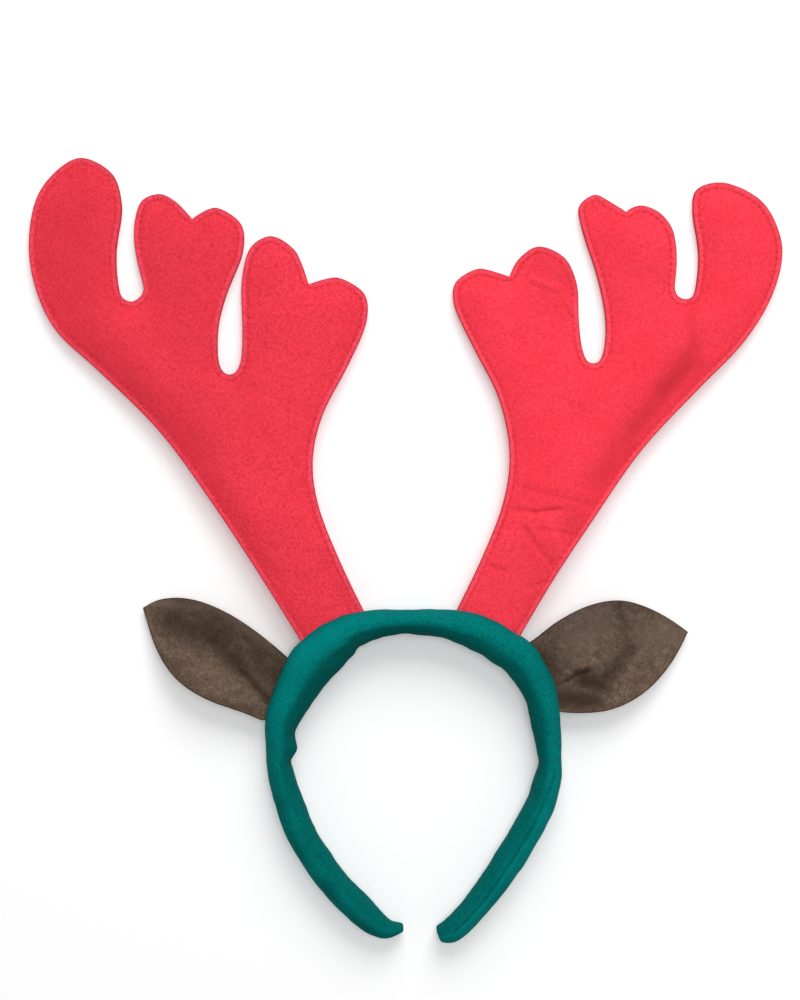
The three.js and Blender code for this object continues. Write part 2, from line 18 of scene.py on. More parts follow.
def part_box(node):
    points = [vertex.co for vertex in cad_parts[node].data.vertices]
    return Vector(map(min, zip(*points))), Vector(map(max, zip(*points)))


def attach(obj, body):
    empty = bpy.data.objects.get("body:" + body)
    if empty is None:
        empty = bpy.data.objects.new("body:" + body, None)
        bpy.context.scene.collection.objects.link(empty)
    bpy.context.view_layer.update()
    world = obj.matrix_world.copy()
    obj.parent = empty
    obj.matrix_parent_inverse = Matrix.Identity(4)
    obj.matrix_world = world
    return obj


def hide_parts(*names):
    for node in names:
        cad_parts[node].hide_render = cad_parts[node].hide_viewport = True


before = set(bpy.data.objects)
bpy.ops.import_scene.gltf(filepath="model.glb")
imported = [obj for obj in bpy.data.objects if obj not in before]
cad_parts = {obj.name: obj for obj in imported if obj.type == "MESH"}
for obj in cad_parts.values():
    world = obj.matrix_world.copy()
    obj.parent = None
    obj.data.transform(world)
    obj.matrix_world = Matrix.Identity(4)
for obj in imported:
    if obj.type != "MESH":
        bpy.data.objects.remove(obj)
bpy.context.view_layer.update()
MM = 0.001

# %% [markdown]
# ## The camera
# The photograph looks straight down at the headband, from about a metre. A camera that isn't turned at all
# looks down -Z with +Y at the top of the picture, so it only needs a place and a lens. On an upright picture
# the sensor width is its long side: a 75 mm lens on 36 mm sees 480 mm of the table from a metre away.

# %% Place the camera
PICTURE_WIDTH = 384 * MM  # how much of the table the picture shows
PICTURE_HEIGHT = 480 * MM

camera_data = bpy.data.cameras.new("record_main")
camera_data.sensor_width = 36
camera_data.lens = 75
camera_data.clip_start = 0.05
camera = bpy.data.objects.new("record_main", camera_data)
camera.location = (-2.8 * MM, 23.8 * MM, 1010 * MM)
bpy.context.collection.objects.link(camera)
bpy.context.scene.camera = camera
bpy.context.scene.view_settings.view_transform = "Standard"
print("camera at, mm:", [round(v / MM, 1) for v in camera.location])

# %% [markdown]
# ## Table and light
# The table is a plain pale disc a hair below the headband. The light is soft and comes from beyond the
# antler tips, high up, so that the edges facing away from it fall into a gentle shade. A pale world fills in.

# %% Lay the table and set up the lights
TABLE_RADIUS = 4
TABLE_DROP = 0.3 * MM


def add_table():
    """A wide, plain disc that lies just below the headband."""
    disc = bmesh.new()
    bmesh.ops.create_circle(disc, cap_ends=True, segments=64, radius=TABLE_RADIUS)
    bmesh.ops.translate(disc, verts=disc.verts, vec=(0, 0, -TABLE_DROP))
    table = mesh_object("table", disc)
    paper = bpy.data.materials.new("pale_table")
    paper.use_nodes = True
    shader = paper.node_tree.nodes["Principled BSDF"]
    shader.inputs["Base Color"].default_value = (0.93, 0.93, 0.93, 1)
    shader.inputs["Roughness"].default_value = 0.9
    shader.inputs["Emission Color"].default_value = (1, 1, 1, 1)
    shader.inputs["Emission Strength"].default_value = 0.16
    table.data.materials.append(paper)


def mesh_object(name, shape):
    """Turns a bmesh into an object at the origin, smooth shaded."""
    mesh = bpy.data.meshes.new(name)
    shape.to_mesh(mesh)
    shape.free()
    mesh.polygons.foreach_set("use_smooth", [True] * len(mesh.polygons))
    piece = bpy.data.objects.new(name, mesh)
    bpy.context.collection.objects.link(piece)
    return piece


def add_area_light(name, place, size, watts):
    """A square soft box that faces the headband."""
    light = bpy.data.lights.new(name, "AREA")
    light.size = size
    light.energy = watts
    lamp = bpy.data.objects.new(name, light)
    lamp.location = place
    lamp.rotation_euler = Vector(place).to_track_quat("Z", "Y").to_euler()
    bpy.context.collection.objects.link(lamp)


add_table()
add_area_light("window_light", (0.3, 1.5, 1.35), 1.3, 27)
add_area_light("overhead_light", (0.15, 0.1, 1.9), 0.7, 10)
world = bpy.data.worlds.new("pale_room")
world.use_nodes = True
world.node_tree.nodes["Background"].inputs["Color"].default_value = (0.99, 0.99, 1, 1)
world.node_tree.nodes["Background"].inputs["Strength"].default_value = 0.34
bpy.context.scene.world = world

# %% [markdown]
# ## Felt, as a material
# Felt is pressed wool: no weave, only a tangle of fibres. Three sizes of noise make it. Large soft clouds
# are where the nap lies differently, a finer one is the tangle that the eye sees, and the finest is single
# fibres. The two finer ones also drive the bump. A little sheen lifts the edges, as loose fibres do. Two
# attributes come from the mesh: rim, the distance to a cut edge, where a painted shade darkens the felt, and
# a second one of painted shade, from 1, to painted highlight, at -1. On the right antler's heel it is partly
# nap that handling has pressed flat. On a sewn felt the strip between the seam and the cut edge is given a
# paler tone.

# %% Make the felts
STRIP_FADE = (1.7, 2.7)  # the strip outside the seam fades over these millimetres from the cut edge
CUT_EDGE_FADE = (0.1, 0.75)  # and the painted shade at the cut edge over these
TANGLE_SPREAD = (0.27, 0.6)  # the part of the tangle's noise that goes from the deep tone to the plain one


def add_node(tree, kind, label, **values):
    """A shader node with its label, and with these values on its inputs."""
    node = tree.nodes.new(kind)
    node.label = label
    for key, value in values.items():
        node.inputs[key].default_value = value
    return node


def noise_on(tree, place, label, scale, detail, rough, stretch=(1, 1, 1), turn=0.0):
    """Noise over the object's own coordinates, stretched and turned, as a value from 0 to 1."""
    mapping = add_node(tree, "ShaderNodeMapping", f"{label} direction", Scale=stretch, Rotation=(0, 0, turn))
    pattern = add_node(tree, "ShaderNodeTexNoise", label, Scale=scale, Detail=detail, Roughness=rough)
    tree.links.new(place.outputs["Object"], mapping.inputs["Vector"])
    tree.links.new(mapping.outputs["Vector"], pattern.inputs["Vector"])
    return pattern.outputs["Fac"]


def blend_colour(tree, label, share, first, second, share_range):
    """Mixes two colours by a share, spread over share_range first."""
    spread = add_node(tree, "ShaderNodeMapRange", f"{label} share")
    spread.inputs["From Min"].default_value, spread.inputs["From Max"].default_value = share_range
    tree.links.new(share, spread.inputs["Value"])
    mix = tree.nodes.new("ShaderNodeMix")
    mix.label = label
    mix.data_type = "RGBA"
    tree.links.new(spread.outputs["Result"], mix.inputs["Factor"])
    for colour, socket in ((first, mix.inputs["A"]), (second, mix.inputs["B"])):
        if isinstance(colour, tuple):
            socket.default_value = (*colour, 1)
        else:
            tree.links.new(colour, socket)
    return mix.outputs["Result"]


def felt_material(name, deep, plain, light, shading_and_wear, strip=None, nap_scale=45, nap_spread=(0.25, 1.1),
                  sheen=0.1, gloss=0.15, relief=0.35):
    """Felt in four tones of its colour, with its own tone for a strip outside a seam."""
    felt = bpy.data.materials.new(name)
    felt.use_nodes = True
    tree = felt.node_tree
    shader = tree.nodes["Principled BSDF"]
    place = tree.nodes.new("ShaderNodeTexCoord")
    clouds = noise_on(tree, place, "nap", nap_scale, 5, 0.6)
    tangle = noise_on(tree, place, "tangle", 850, 5, 0.65, stretch=(1, 0.8, 1), turn=0.6)
    fibres = noise_on(tree, place, "fibres", 1900, 5, 0.7, stretch=(1, 0.35, 1), turn=-0.4)
    rim = add_node(tree, "ShaderNodeAttribute", "distance to the cut edge")
    rim.attribute_name = "rim"
    tone = blend_colour(tree, "nap tone", clouds, plain, light, nap_spread)
    if strip:
        tone = blend_colour(tree, "strip outside the seam", rim.outputs["Fac"], strip, tone, STRIP_FADE)
    tone = blend_colour(tree, "tangle tone", tangle, deep, tone, TANGLE_SPREAD)
    # painted shade: the cut edge takes the darkest tone
    tone = blend_colour(tree, "cut edge", rim.outputs["Fac"], shading_and_wear, tone, CUT_EDGE_FADE)
    shading_and_wear_marks = add_node(tree, "ShaderNodeAttribute", "pressed nap")
    shading_and_wear_marks.attribute_name = "shading_and_wear"
    # painted shade up to 1, partly nap pressed by handling on the right antler's heel
    tone = blend_colour(tree, "pressed tone", shading_and_wear_marks.outputs["Fac"], tone, shading_and_wear, (0, 1))
    # painted highlight down to -1
    tone = blend_colour(tree, "raised nap", shading_and_wear_marks.outputs["Fac"], light, tone, (-1, 0))
    tree.links.new(tone, shader.inputs["Base Color"])
    surface = tree.nodes.new("ShaderNodeMath")
    surface.operation = "ADD"
    surface.label = "tangle and fibres"
    tree.links.new(tangle, surface.inputs[0])
    tree.links.new(fibres, surface.inputs[1])
    bump = add_node(tree, "ShaderNodeBump", "felt relief", Strength=relief, Distance=0.5 * MM)
    tree.links.new(surface.outputs["Value"], bump.inputs["Height"])
    tree.links.new(bump.outputs["Normal"], shader.inputs["Normal"])
    shader.inputs["Roughness"].default_value = 0.95
    shader.inputs["Specular IOR Level"].default_value = gloss
    shader.inputs["Sheen Weight"].default_value = sheen
    shader.inputs["Sheen Roughness"].default_value = 0.5
    shader.inputs["Sheen Tint"].default_value = (*light, 1)
    return felt


def linear(red, green, blue):
    """The colour that shows as this red, green and blue from 0 to 255."""
    return tuple((v / 255) ** 2.2 for v in (red, green, blue))


felts = {
    "antler_left": felt_material("red_felt_left", linear(206, 44, 58), linear(246, 61, 78),
                                 linear(255, 74, 92), linear(190, 44, 56), strip=linear(255, 84, 104)),
    "antler_right": felt_material("red_felt_right", linear(228, 48, 60), linear(255, 62, 79),
                                  linear(255, 78, 96), linear(188, 44, 54), strip=linear(255, 84, 102)),
    "sleeve": felt_material("green_felt", linear(0, 90, 86), linear(0, 114, 110),
                            linear(0, 132, 127), linear(0, 74, 70), sheen=0, gloss=0.04),
    "ear": felt_material("brown_felt", linear(76, 60, 48), linear(98, 80, 67), linear(126, 107, 94),
                         linear(54, 41, 31), nap_scale=230, nap_spread=(0.35, 0.72)),
}
print("felts:", ", ".join(felts))

# %% [markdown]
# ## From a plain solid to soft felt
# A felt panel starts as a copy of its solid, so it stays exactly where the frame has it. The copy's loose
# triangles are joined, the cut edge is creased so that it stays crisp, and a Subdivision Surface gives it
# enough points to bend. Then the points are moved by small amounts: that is the sculpting.

# %% Copy a solid, and find its cut edge
RIM_CREASE = 0.55
NOTCH_TURN = 45  # where the cut edge turns by more degrees than this, it stays a sharp corner


def copy_of_node(node):
    """A bmesh of a solid in the frame, with its loose triangles joined."""
    shape = bmesh.new()
    shape.from_mesh(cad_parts[node].data)
    bmesh.ops.remove_doubles(shape, verts=shape.verts, dist=0.002 * MM)
    bmesh.ops.triangulate(shape, faces=[f for f in shape.faces if len(f.verts) > 3])
    shape.normal_update()
    return shape


def is_rim(edge, side):
    """Whether an edge joins the face of the felt, on the side 1 for up or -1 for down, to its cut edge."""
    facing = sorted(round(max(0, side * f.normal.z)) for f in edge.link_faces)
    return facing == [0, 1]


def rim_line(shape, side):
    """The cut edge's points in order, once round."""
    neighbours = {}
    for edge in shape.edges:
        if is_rim(edge, side):
            a, b = edge.verts
            neighbours.setdefault(a, []).append(b)
            neighbours.setdefault(b, []).append(a)
    start = next(iter(neighbours))
    line, before = [start], None
    while True:
        here = line[-1]
        after = next(v for v in neighbours[here] if v is not before)
        if after is start:
            return [v.co.copy() for v in line]
        line.append(after)
        before = here


def resampled(points, step):
    """Points at equal steps along a closed line, after its corners are cut twice."""
    for _ in range(2):
        points = [p.lerp(q, t) for p, q in zip(points, points[1:] + points[:1]) for t in (0.25, 0.75)]
    evenly, left = [], 0.0
    for p, q in zip(points, points[1:] + points[:1]):
        length = (q - p).length
        while left < length:
            evenly.append(p.lerp(q, left / length))
            left += step
        left -= length
    return evenly


def tree_of(points):
    """A quick way to find the nearest of many points, seen from above."""
    tree = KDTree(len(points))
    for i, p in enumerate(points):
        tree.insert((p.x, p.y, 0), i)
    tree.balance()
    return tree


def rim_turn(vertex, side):
    """How sharply the cut edge turns at a vertex, in degrees."""
    ends = [e.other_vert(vertex).co - vertex.co for e in vertex.link_edges if is_rim(e, side)]
    return 180 - math.degrees(ends[0].xy.angle(ends[1].xy)) if len(ends) == 2 else 0


def softened(name, shape, levels):
    """The shape as an object, with its cut edge and notches creased and its surface subdivided."""
    crease = shape.edges.layers.float.new("crease_edge")
    corner = shape.verts.layers.float.new("crease_vert")
    for edge in shape.edges:
        if is_rim(edge, 1) or is_rim(edge, -1):
            edge[crease] = RIM_CREASE
    for vertex in shape.verts:
        if max(rim_turn(vertex, 1), rim_turn(vertex, -1)) > NOTCH_TURN:
            vertex[corner] = 1
    for edge in shape.edges:
        if edge.verts[0][corner] and edge.verts[1][corner]:
            edge[crease] = 1
    piece = mesh_object(name, shape)
    smooth = piece.modifiers.new("Subdivision", "SUBSURF")
    smooth.levels = smooth.render_levels = levels
    with bpy.context.temp_override(object=piece, active_object=piece, selected_objects=[piece]):
        bpy.ops.object.modifier_apply(modifier="Subdivision")
    return piece


# %% [markdown]
# ## The antlers
# Each antler is two felts, sewn together round the edge with short stitches and lightly padded between.
# The stitches pull the felt down into a shallow groove with a dimple at each one. The groove and the creases
# get painted shade, and the ridges painted highlight. The left antler's nap is smooth, with painted shade
# that darkens it towards its outer side. The right one has been folded at its neck, and carries creases and
# a darker patch at its heel, which is partly nap pressed by handling and partly painted shade.

# %% Say where the creases and the pressed patches are
STITCH_PITCH = 3.3 * MM
SEAM_INSET = 2.8 * MM
SEAM_DEPTH = 0.4 * MM
SEAM_WIDTH = 1.1  # of the groove and of its shade, in millimetres
SEAM_SHADE_WIDTH = 0.6
# painted shade in the seam's groove and along the creases, and painted highlight along the ridges, as shares
# of the darkest tone
SEAM_SHADE = 0.4
CREASE_SHADE = 0.4
STITCH_DIMPLE = 0.3  # the share of the groove's depth that is there only at the stitches
FACE_TILT = 0.2  # a normal that rises by more than this belongs to the face of the felt
RIM_STEP = 0.5 * MM
CALM_RIM = 9 * MM  # near the cut edge the waves die down over this, and the creases over the next
CREASE_RIM = 2.5 * MM
FAR_FROM_RIM = 5.0  # the rim attribute, in millimetres, of a surface without a cut edge
felt_waves = [(0.6, 30, 0), (0.25, 95, 7)]  # height in millimetres, waves to the metre, layer of the noise


def photo(x, y):
    """The place at a share of the picture's width from its left side and of its height from its top."""
    return Vector((camera.location.x + (x - 0.5) * PICTURE_WIDTH,
                   camera.location.y + (0.5 - y) * PICTURE_HEIGHT))


# Each crease runs between two places, with its depth and width in millimetres. A ridge has a negative depth.
creases = {
    "antler_left": [
        ("root, outer", photo(0.335, 0.565), photo(0.385, 0.635), 0.3, 2.5),
        ("root, inner", photo(0.43, 0.6), photo(0.405, 0.56), 0.3, 3),
    ],
    "antler_right": [
        ("across the neck", photo(0.64, 0.509), photo(0.668, 0.5125), 0.5, 1.2),
        ("across the neck, inner", photo(0.668, 0.5125), photo(0.7, 0.509), 0.7, 0.9),
        ("above it", photo(0.655, 0.488), photo(0.742, 0.506), 0.5, 1.5),
        ("fan, left", photo(0.655, 0.528), photo(0.688, 0.564), 0.7, 1.3),
        ("fan, low", photo(0.688, 0.564), photo(0.702, 0.578), 0.5, 1.3),
        ("fan, right", photo(0.675, 0.53), photo(0.735, 0.537), 0.5, 1.4),
        ("swell in the fan", photo(0.69, 0.532), photo(0.705, 0.555), -0.5, 3),
        ("root, short", photo(0.612, 0.566), photo(0.63, 0.571), 0.7, 1),
        ("root, right", photo(0.66, 0.587), photo(0.685, 0.582), 0.6, 1.2),
        ("heel, far edge", photo(0.885, 0.352), photo(0.84, 0.402), -0.35, 2),
        ("heel, top", photo(0.828, 0.372), photo(0.875, 0.35), 0.3, 2.5),
        ("below the outer slot", photo(0.863, 0.306), photo(0.868, 0.35), 0.35, 2),
        ("bow in the inner tine", photo(0.665, 0.279), photo(0.7, 0.287), -0.4, 1.8),
        ("bow, turning down", photo(0.7, 0.287), photo(0.72, 0.312), -0.4, 1.8),
        ("middle, faint", photo(0.755, 0.34), photo(0.812, 0.33), -0.25, 2.5),
    ],
}

# Each patch of painted shade lies along a line, with its strength up to 1, or down to -1 for painted
# highlight, and its width in millimetres. The right antler's heel patch is partly nap pressed by handling.
shade_and_wear_patches = {
    "antler_left": [
        ("outer tine", photo(0.1, 0.2), photo(0.09, 0.3), 0.3, 22),
        ("heel", photo(0.1, 0.34), photo(0.24, 0.45), 0.42, 17),
        ("middle", photo(0.22, 0.25), photo(0.26, 0.38), 0.22, 24),
        ("outer edge", photo(0.24, 0.45), photo(0.33, 0.57), 0.3, 8),
        ("root", photo(0.335, 0.585), photo(0.375, 0.63), 0.4, 4),
    ],
    "antler_right": [
        ("heel, dark", photo(0.866, 0.36), photo(0.83, 0.39), 0.7, 6.5),
        ("heel, fading", photo(0.84, 0.382), photo(0.79, 0.43), 0.45, 6),
        ("heel, faint", photo(0.8, 0.42), photo(0.75, 0.475), 0.32, 7),
        ("lobe of the inner tine", photo(0.68, 0.264), photo(0.71, 0.28), 0.3, 8),
        ("below the outer slot", photo(0.864, 0.31), photo(0.868, 0.35), 0.3, 2.5),
        ("middle tine", photo(0.77, 0.25), photo(0.81, 0.28), 0.1, 12),
        ("beside the bow", photo(0.665, 0.282), photo(0.698, 0.29), 0.3, 1),
        ("beside the bow, turning down", photo(0.698, 0.29), photo(0.716, 0.315), 0.3, 1),
        ("outer edge", photo(0.72, 0.51), photo(0.66, 0.61), 0.2, 6),
    ],
}


def along_lines(flat, lines):
    """For each line, its size at each place: all of it on the line, falling softly to 0 over its width."""
    sizes = [np.zeros(len(flat))]
    for _, start, end, size, width in lines:
        along = np.array(end - start)
        share = np.clip((flat - np.array(start)) @ along / (along @ along), 0, 1)
        off = np.linalg.norm(flat - (np.array(start) + share[:, None] * along), axis=1)
        sizes.append(size * np.exp(-((off / (width * MM)) ** 2)))
    return np.array(sizes)


def points_of(piece):
    """All the points of a piece, as an array with a row for each."""
    places = np.empty(len(piece.data.vertices) * 3)
    piece.data.vertices.foreach_get("co", places)
    return places.reshape(-1, 3)


def move_points(piece, places):
    """Puts the points of a piece at these places."""
    piece.data.vertices.foreach_set("co", places.ravel())
    piece.data.update()


def distance_to_rim(rim_points, places):
    """At each place, how far the cut edge is, seen from above, and the number of its nearest point."""
    tree = tree_of(rim_points)
    found = [tree.find((x, y, 0)) for x, y, _ in places]
    return np.array([off for _, _, off in found]), np.array([nearest for _, nearest, _ in found])


def from_rim(off, reach):
    """0 at the cut edge, rising evenly to 1 at this reach from it."""
    return np.minimum(off / reach, 1)


def waves(places, scale, layer=0.0):
    """Smooth noise at each place, from -1 to 1, with scale waves to the metre."""
    return np.array([noise.noise(Vector((x * scale, y * scale, layer))) for x, y, _ in places])


# %% Sculpt the antler felts
def sculpt_felt(piece, side, rim_points, marks, patches):
    """Moves the points of a felt by its waves, creases and sewn groove, and stores rim and its painted shade.
    """
    places = points_of(piece)
    facing = np.array([v.normal.z * side for v in piece.data.vertices])
    off, nearest = distance_to_rim(rim_points, places)
    wave = sum(height * waves(places, scale, layer) for height, scale, layer in felt_waves)
    folds = along_lines(places[:, :2], marks)
    places[:, 2] += wave * MM * from_rim(off, CALM_RIM)
    places[:, 2] -= folds.sum(axis=0) * MM * from_rim(off, CREASE_RIM)
    turn = 2 * math.pi * nearest * RIM_STEP / STITCH_PITCH
    off_seam_line = (off - SEAM_INSET) / MM
    pull = np.exp(-((off_seam_line / SEAM_WIDTH) ** 2)) * (1 - STITCH_DIMPLE + STITCH_DIMPLE * np.cos(turn))
    places[:, 2] -= side * SEAM_DEPTH * pull * (facing > FACE_TILT)
    move_points(piece, places)
    store(piece, "rim", off / MM)
    # Painted shade in the seam's groove, patchy, and in the creases and patches; the ridges get painted
    # highlight.
    groove = SEAM_SHADE * np.exp(-((off_seam_line / SEAM_SHADE_WIDTH) ** 2)) * (0.8 + waves(places, 40, 2))
    shading_and_wear_marks = along_lines(places[:, :2], patches)
    store(piece, "shading_and_wear", strongest(shading_and_wear_marks, CREASE_SHADE * folds, groove[None]))


def strongest(*layers):
    """At each place, the highest value of all the layers' rows above 0, and the lowest below it, together."""
    rows = np.concatenate(layers)
    return np.maximum(rows, 0).max(axis=0) + np.minimum(rows, 0).min(axis=0)


def store(piece, name, values):
    """Keeps a value for each point of a piece, for its material to read."""
    attribute = piece.data.attributes.new(name, "FLOAT", "POINT")
    attribute.data.foreach_set("value", values)


def flatten_on_table(piece):
    """What would dip below the table lies flat on it."""
    for vertex in piece.data.vertices:
        vertex.co.z = max(vertex.co.z, 0)


def flat_area(shape):
    """The felt's area as cut, in square metres."""
    return sum(f.calc_area() for f in shape.faces if f.normal.z > 0.5)


def make_antler_felt(antler, layer, side):
    """One felt of an antler, facing up (side 1) or down (side -1), and the points of its cut edge."""
    node = f"{antler}_{layer}"
    shape = copy_of_node(node)
    area = flat_area(shape)
    rim_points = resampled(rim_line(shape, side), RIM_STEP)
    piece = softened(f"{antler}_{layer}_felt", shape, 3 if side == 1 else 2)
    sculpt_felt(piece, side, rim_points, creases[antler], shade_and_wear_patches[antler])
    flatten_on_table(piece)
    piece.data.materials.append(felts[antler])
    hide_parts(node)
    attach(piece, "root")
    print(piece.name, len(piece.data.polygons), "faces,", round(area * 1e4), "cm2 of felt")
    return piece, rim_points


antler_felts = {}
for antler in ("antler_left", "antler_right"):
    for layer, side in (("front", 1), ("back", -1)):
        antler_felts[antler, layer] = make_antler_felt(antler, layer, side)

# %% [markdown]
# ## The stitches
# The thread is red like the felt, so it shows by its shadow. Each stitch is a small bead of thread, longer
# than it is wide, half sunk in the groove. A low uv sphere stretched along the seam is enough for that.

# %% Sew the antlers
thread = felt_material("red_thread", linear(214, 48, 62), linear(232, 56, 72), linear(240, 62, 80),
                       linear(214, 48, 62), relief=0.15)


STITCH_SIZE = (1.1 * MM, 0.3 * MM, 0.24 * MM)  # half of its length, width and height
STITCH_SLANT = 0.12
STITCH_PROUD = 0.05 * MM
TURN_POINTS = 3  # the seam's direction is taken this many points of the cut edge before and after a place
CLEAR_OF_RIM = 0.93  # shares of the inset and of the pitch that a stitch must at least keep
CLEAR_OF_LAST = 0.96
RAY_START = 0.05


def seam_places(rim_points):
    """Places along the seam, one stitch apart, each with its direction."""
    turned = sum(p.x * q.y - q.x * p.y for p, q in zip(rim_points, rim_points[1:] + rim_points[:1]))
    rim_tree = tree_of(rim_points)
    places = []
    for i in range(len(rim_points)):
        ahead = rim_points[(i + TURN_POINTS) % len(rim_points)]
        along = (ahead - rim_points[i - TURN_POINTS]).xy.normalized()
        inwards = Vector((-along.y, along.x)) * (1 if turned > 0 else -1)
        place = rim_points[i].xy + inwards * SEAM_INSET
        _, _, off = rim_tree.find((place.x, place.y, 0))
        clear_of_last = not places or (place - places[-1][0]).length > CLEAR_OF_LAST * STITCH_PITCH
        if off > CLEAR_OF_RIM * SEAM_INSET and clear_of_last:
            places.append((place, along))
    return places


def add_bead(beads, place):
    """Adds one stitch. It is made by itself first, because an operator goes over all of a mesh each time."""
    bead = bmesh.new()
    bmesh.ops.create_uvsphere(bead, u_segments=6, v_segments=4, radius=1, matrix=place)
    mesh = bpy.data.meshes.new("bead")
    bead.to_mesh(mesh)
    bead.free()
    beads.from_mesh(mesh)
    bpy.data.meshes.remove(mesh)


def sew(antler):
    """The stitches of one antler, on both of its felts, as one piece."""
    beads = bmesh.new()
    count = 0
    for layer, side in (("front", 1), ("back", -1)):
        felt, rim_points = antler_felts[antler, layer]
        surface = BVHTree.FromPolygons([v.co for v in felt.data.vertices],
                                       [p.vertices for p in felt.data.polygons])
        for place, along in seam_places(rim_points):
            hit, *_ = surface.ray_cast(Vector((*place, side * RAY_START)), Vector((0, 0, -side)))
            if hit is not None:
                move = Matrix.Translation(hit + Vector((0, 0, side * STITCH_PROUD)))
                turn = Matrix.Rotation(math.atan2(along.y, along.x) + STITCH_SLANT, 4, "Z")
                add_bead(beads, move @ turn @ Matrix.Diagonal((*STITCH_SIZE, 1)))
                count += 1
    stitches = mesh_object(f"{antler}_stitches", beads)
    store(stitches, "rim", [FAR_FROM_RIM] * len(stitches.data.vertices))
    flatten_on_table(stitches)
    stitches.data.materials.append(thread)
    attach(stitches, "root")
    print(stitches.name, count, "stitches")


for antler in ("antler_left", "antler_right"):
    sew(antler)

# %% [markdown]
# ## The headband's sleeve
# A felt tube, stuffed round a springy band and pulled tight. It is an oval tube that follows the band. The
# oval's width and depth come from the same sections as the solid's, and the whole is then set in the
# solid's box. A section number says where along the tube a place is: 2.5 is halfway from section 2 to 3.

# %% Say how the sleeve runs
HEADBAND_WIDTH = 141.6 * MM
HEADBAND_HEIGHT = 159 * MM
SLEEVE_THICKNESS = 11.5 * MM
SLEEVE_DEPTH = 24 * MM
TURN_REACH = 6 * MM  # the sleeve's direction is taken this far before and after a place

# across is a share of half the width, up of the height, thick of the thickness and deep of the depth
sleeve_sections = [
    ("left tip", -0.07, 0.032, 0.3, 0.4),
    ("left tip, full", -0.185, 0.032, 0.83, 0.58),
    ("left leg, foot", -0.325, 0.074, 1.15, 0.7),
    ("left leg, low", -0.535, 0.17, 1.21, 0.76),
    ("left leg", -0.72, 0.285, 1.18, 0.8),
    ("left leg, high", -0.84, 0.405, 1.19, 0.84),
    ("left side, pinched", -0.91, 0.53, 1.04, 0.87),
    ("left side, gathered", -0.895, 0.582, 1.25, 0.88),
    ("left side, pinched again", -0.905, 0.615, 1.19, 0.9),
    ("left side, below the ear", -0.888, 0.673, 1.42, 0.93),
    ("left ear root", -0.8, 0.757, 1.75, 0.96),
    ("left shoulder", -0.685, 0.836, 2, 0.98),
    ("left antler, outer root", -0.557, 0.893, 1.88, 1),
    ("left antler root", -0.488, 0.914, 1.71, 1),
    ("left antler, inner root", -0.42, 0.935, 1.5, 1),
    ("left of the crown", -0.271, 0.954, 1.21, 1),
    ("crown, left", -0.136, 0.962, 1.02, 1),
    ("crown", 0, 0.964, 1, 1),
    ("crown, right", 0.176, 0.959, 1.11, 1),
    ("right antler, inner root", 0.346, 0.944, 1.43, 1),
    ("right antler root", 0.495, 0.917, 1.54, 1),
    ("right antler, outer root", 0.624, 0.882, 1.58, 1),
    ("right shoulder", 0.725, 0.845, 1.62, 0.98),
    ("right ear root", 0.814, 0.787, 1.46, 0.96),
    ("right side, below the ear", 0.868, 0.727, 1.32, 0.94),
    ("right side", 0.902, 0.636, 1.15, 0.9),
    ("right side, pinched", 0.92, 0.546, 1, 0.88),
    ("right leg, high", 0.905, 0.486, 1.13, 0.87),
    ("right leg", 0.836, 0.387, 1.18, 0.84),
    ("right leg, middle", 0.662, 0.253, 1.19, 0.79),
    ("right leg, low", 0.457, 0.122, 1.06, 0.74),
    ("right tip, full", 0.27, 0.033, 1, 0.66),
    ("right tip", 0.165, 0.013, 0.62, 0.5),
]
section_names = [name for name, *_ in sleeve_sections]
LAST_SECTION = len(sleeve_sections) - 1


def smooth_between(values, number):
    """A smooth curve through a list of numbers, read at a place that may lie between two of them."""
    i = min(int(number), len(values) - 2)
    t = number - i
    a, b, c, d = (values[min(max(k, 0), len(values) - 1)] for k in (i - 1, i, i + 1, i + 2))
    return b + t * ((c - a) + t * (2 * a - 5 * b + 4 * c - d + t * (3 * (b - c) + d - a))) / 2


def middle_at(number):
    """The middle of the sleeve at a section number, seen from above."""
    _, across, up, _, _ = zip(*sleeve_sections)
    return Vector((smooth_between(across, number) * HEADBAND_WIDTH / 2,
                   smooth_between(up, number) * HEADBAND_HEIGHT))


STEPS_PER_SECTION = 8
step_numbers = [k / STEPS_PER_SECTION for k in range(LAST_SECTION * STEPS_PER_SECTION + 1)]
step_lengths = [(middle_at(a) - middle_at(b)).length for a, b in zip(step_numbers, step_numbers[1:])]
step_distances = [0, *np.cumsum(step_lengths)]
SLEEVE_LENGTH = float(step_distances[-1])
print("length of the sleeve, mm:", round(SLEEVE_LENGTH / MM))


def distance_at(number):
    """How far along the sleeve a section number is, in metres."""
    return float(np.interp(number, step_numbers, step_distances))


def number_at(distance):
    """The section number at a distance along the sleeve."""
    return float(np.interp(distance, step_distances, step_numbers))


def section_at(number):
    """The middle, outward direction, thickness and depth of the sleeve at a section number."""
    _, _, _, thick, deep = zip(*sleeve_sections)
    distance = distance_at(number)
    along = middle_at(number_at(distance + TURN_REACH)) - middle_at(number_at(distance - TURN_REACH))
    return (middle_at(number), Vector((-along.y, along.x)).normalized(),
            smooth_between(thick, number) * SLEEVE_THICKNESS, smooth_between(deep, number) * SLEEVE_DEPTH)


def after(name, share=0.0):
    """The section number that lies a share of the way from this section to the next."""
    return section_names.index(name) + share
